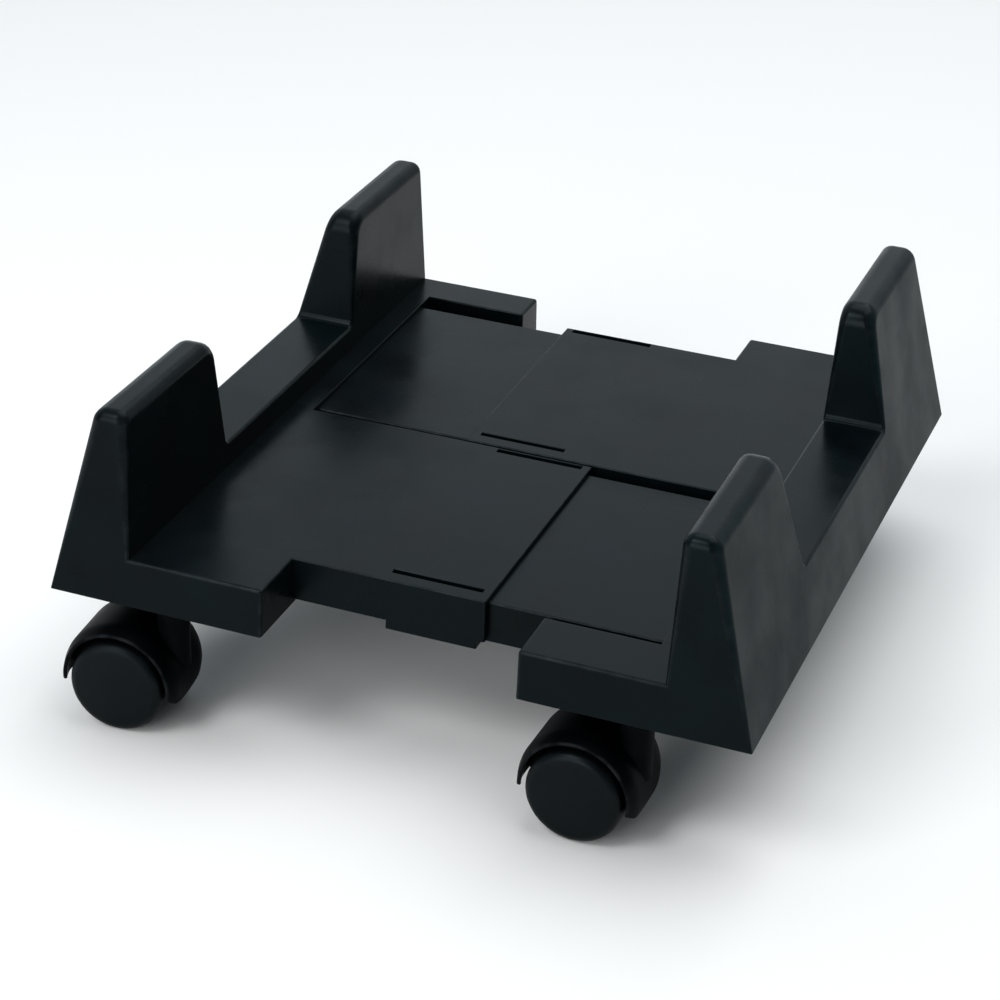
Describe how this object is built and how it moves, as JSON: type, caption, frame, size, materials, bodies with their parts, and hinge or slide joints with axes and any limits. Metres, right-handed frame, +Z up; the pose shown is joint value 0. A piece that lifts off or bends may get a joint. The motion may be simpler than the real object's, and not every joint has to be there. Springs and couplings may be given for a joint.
{
  "type": "computer tower stand",
  "caption": "Wheeled stand for a computer tower: interleaved sliding base plates set the width, corner posts hold the case, and hooded twin-wheel casters roll it.",
  "frame": {"origin": "on the floor under the middle of the stand", "axes": "+X to the right across the width, +Y to the rear, +Z up; the camera of the picture looks at the front edge (-Y) from the right"},
  "size_m": [0.244, 0.2682, 0.1146],
  "materials": {
    "base": "black moulded plastic with a low sheen",
    "hood": "black moulded plastic with a low sheen",
    "wheel": "dark grey moulded plastic with a low sheen",
    "sleeve": "plain black moulded plastic",
    "steel": "turned steel"
  },
  "bodies": {
    "left_frame": {"left_base": "base", "front_left_stem_sleeve": "sleeve", "rear_left_stem_sleeve": "sleeve"},
    "right_frame": {"right_base": "base", "front_right_stem_sleeve": "sleeve", "rear_right_stem_sleeve": "sleeve"},
    "front_left_caster": {"front_left_hood": "hood", "front_left_stem": "steel", "front_left_stem_ring": "steel", "front_left_axle": "steel"},
    "front_left_wheel_front": {"front_left_wheel_front": "wheel"},
    "front_left_wheel_rear": {"front_left_wheel_rear": "wheel"},
    "front_right_caster": {"front_right_hood": "hood", "front_right_stem": "steel", "front_right_stem_ring": "steel", "front_right_axle": "steel"},
    "front_right_wheel_front": {"front_right_wheel_front": "wheel"},
    "front_right_wheel_rear": {"front_right_wheel_rear": "wheel"},
    "rear_left_caster": {"rear_left_hood": "hood", "rear_left_stem": "steel", "rear_left_stem_ring": "steel", "rear_left_axle": "steel"},
    "rear_left_wheel_front": {"rear_left_wheel_front": "wheel"},
    "rear_left_wheel_rear": {"rear_left_wheel_rear": "wheel"},
    "rear_right_caster": {"rear_right_hood": "hood", "rear_right_stem": "steel", "rear_right_stem_ring": "steel", "rear_right_axle": "steel"},
    "rear_right_wheel_front": {"rear_right_wheel_front": "wheel"},
    "rear_right_wheel_rear": {"rear_right_wheel_rear": "wheel"}
  },
  "joints": [
    {"name": "width_slide", "type": "slide", "parent": "left_frame", "child": "right_frame", "axis": [1, 0, 0], "range_m": [-0.0595, 0.0135]},
    {"name": "front_left_swivel", "type": "hinge", "parent": "left_frame", "child": "front_left_caster", "pos_m": [-0.0818, -0.116, 0.04], "axis": [0, 0, 1], "continuous": true},
    {"name": "front_left_wheel_front_spin", "type": "hinge", "parent": "front_left_caster", "child": "front_left_wheel_front", "pos_m": [-0.09726, -0.11705, 0.0164], "axis": [-0.068, 0.9977, 0], "continuous": true},
    {"name": "front_left_wheel_rear_spin", "type": "hinge", "parent": "front_left_caster", "child": "front_left_wheel_rear", "pos_m": [-0.09726, -0.11705, 0.0164], "axis": [-0.068, 0.9977, 0], "continuous": true},
    {"name": "front_right_swivel", "type": "hinge", "parent": "right_frame", "child": "front_right_caster", "pos_m": [0.0818, -0.116, 0.04], "axis": [0, 0, 1], "continuous": true},
    {"name": "front_right_wheel_front_spin", "type": "hinge", "parent": "front_right_caster", "child": "front_right_wheel_front", "pos_m": [0.06631, -0.11546, 0.0164], "axis": [0.0349, 0.9994, 0], "continuous": true},
    {"name": "front_right_wheel_rear_spin", "type": "hinge", "parent": "front_right_caster", "child": "front_right_wheel_rear", "pos_m": [0.06631, -0.11546, 0.0164], "axis": [0.0349, 0.9994, 0], "continuous": true},
    {"name": "rear_left_swivel", "type": "hinge", "parent": "left_frame", "child": "rear_left_caster", "pos_m": [-0.0818, 0.116, 0.04], "axis": [0, 0, 1], "continuous": true},
    {"name": "rear_left_wheel_front_spin", "type": "hinge", "parent": "rear_left_caster", "child": "rear_left_wheel_front", "pos_m": [-0.09726, 0.11705, 0.0164], "axis": [0.068, 0.9977, 0], "continuous": true},
    {"name": "rear_left_wheel_rear_spin", "type": "hinge", "parent": "rear_left_caster", "child": "rear_left_wheel_rear", "pos_m": [-0.09726, 0.11705, 0.0164], "axis": [0.068, 0.9977, 0], "continuous": true},
    {"name": "rear_right_swivel", "type": "hinge", "parent": "right_frame", "child": "rear_right_caster", "pos_m": [0.0818, 0.116, 0.04], "axis": [0, 0, 1], "continuous": true},
    {"name": "rear_right_wheel_front_spin", "type": "hinge", "parent": "rear_right_caster", "child": "rear_right_wheel_front", "pos_m": [0.06631, 0.11546, 0.0164], "axis": [-0.0349, 0.9994, 0], "continuous": true},
    {"name": "rear_right_wheel_rear_spin", "type": "hinge", "parent": "rear_right_caster", "child": "rear_right_wheel_rear", "pos_m": [0.06631, 0.11546, 0.0164], "axis": [-0.0349, 0.9994, 0], "continuous": true}
  ]
}
